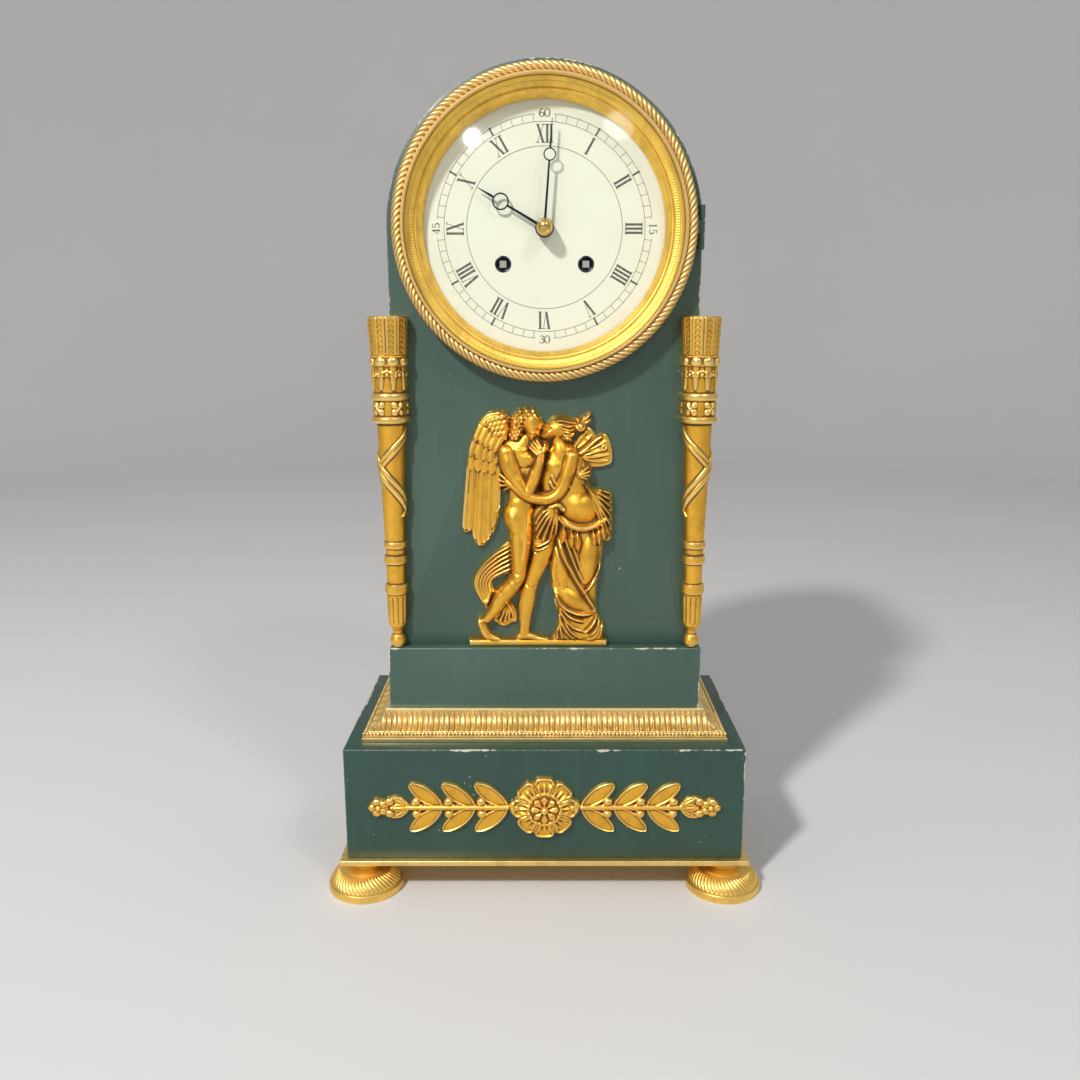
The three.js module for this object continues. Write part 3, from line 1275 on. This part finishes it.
// Cock behind the back plate, suspension spring, rod, bob and rating nut.
function pendulum() {
  const group = new THREE.Group();
  const pivotZ = palletPlace[1];
  const bridgeY = pendulumY - 3;
  const foot = pivotZ - COCK_HEIGHT * 0.3;
  const grip = pivotZ + COCK_HEIGHT * 0.3;
  const top = foot + COCK_HEIGHT;
  const half = COCK_WIDTH / 2;
  const feet = [-1, 1].map((side) => {
    const [near, far] = [side * half * 0.64, side * half];
    return box(Math.min(near, far), Math.max(near, far), backPlateBack, bridgeY + 0.5, foot, top);
  });
  const bridge = box(-half, half, bridgeY, bridgeY + 1.4, foot, top);
  const clamp = box(-half * 0.41, half * 0.41, bridgeY + 1, pendulumY + 2.4, grip, top);
  group.add(piece('suspension_cock', union([...feet, bridge, clamp]), brass));

  const springTop = grip - FIT;
  const springEnd = springTop - SPRING_LENGTH;
  const leaf = SPRING_WIDTH / 2;
  group.add(piece('suspension_spring',
    box(-leaf, leaf, pendulumY - FIT / 2, pendulumY + FIT / 2, springEnd, springTop), steel));

  const bobZ = pivotZ - PENDULUM_LENGTH;
  const rodEnd = bobZ - BOB_RADIUS - ROD_TAIL;
  const [chopX, chopY] = [CHOP_WIDTH / 2, CHOP_DEPTH / 2];
  const chopFoot = springEnd - CHOP_HEIGHT;
  const chop = box(-chopX, chopX, pendulumY - chopY, pendulumY + chopY, chopFoot, springEnd - FIT);
  const rod = post(ROD_RADIUS, rodEnd, chopFoot + 1, [0, pendulumY], 8);
  group.add(piece('pendulum_rod', rod.add(chop), steel));

  const swell = BOB_THICKNESS / 2;
  const lens = turned([
    [0, pendulumY - swell],
    [BOB_RADIUS * 0.55, pendulumY - swell * 0.74],
    [BOB_RADIUS * 0.97, pendulumY - swell * 0.2],
    [BOB_RADIUS, pendulumY],
    [BOB_RADIUS * 0.97, pendulumY + swell * 0.2],
    [BOB_RADIUS * 0.55, pendulumY + swell * 0.74],
    [0, pendulumY + swell],
  ], [0, bobZ], 24);
  const bore = ROD_RADIUS + FIT;
  const channel = post(bore, bobZ - BOB_RADIUS - THROUGH, bobZ + BOB_RADIUS + THROUGH, [0, pendulumY], 8);
  group.add(piece('pendulum_bob', lens.subtract(channel), brass));
  const nutTop = bobZ - BOB_RADIUS - FIT;
  const nutFoot = nutTop - NUT_HEIGHT;
  const nut = post(NUT_RADIUS, nutFoot, nutTop, [0, pendulumY], 12);
  const nutBore = post(bore + 0.1, nutFoot - THROUGH, nutTop + THROUGH, [0, pendulumY], 8);
  group.add(piece('rating_nut', nut.subtract(nutBore), brass));
  return group;
}

function mountsGroup() {
  const group = new THREE.Group();
  const laurelZ = plateTop + PLINTH_HEIGHT * LAUREL_LEVEL;
  group.add(rosette(laurelZ));
  group.add(laurelSpray('laurel_spray_left', -1, laurelZ));
  group.add(laurelSpray('laurel_spray_right', 1, laurelZ));
  group.add(torch('torch_left', -1), torch('torch_right', 1));
  group.add(figureMount());
  return group;
}

// Everything that is set out about the dial centre.
function movementGroup() {
  const group = new THREE.Group();
  group.position.z = dialZ;
  group.add(dialRing(), bezelRing(), glassDome(), sightRing(), dialPlate());
  group.add(rearRing(), rearDoor(), rearDoorKnob());
  group.add(plates(), strap('strap_left', -1), strap('strap_right', 1));
  group.add(hands(), motionWork(), goingTrain(), strikeTrain(), bellAndStand(), pendulum());
  return group;
}

const clock = new THREE.Group();
clock.add(plinthGroup(), mouldings(), caseGroup(), mountsGroup(), movementGroup());

export default clock;
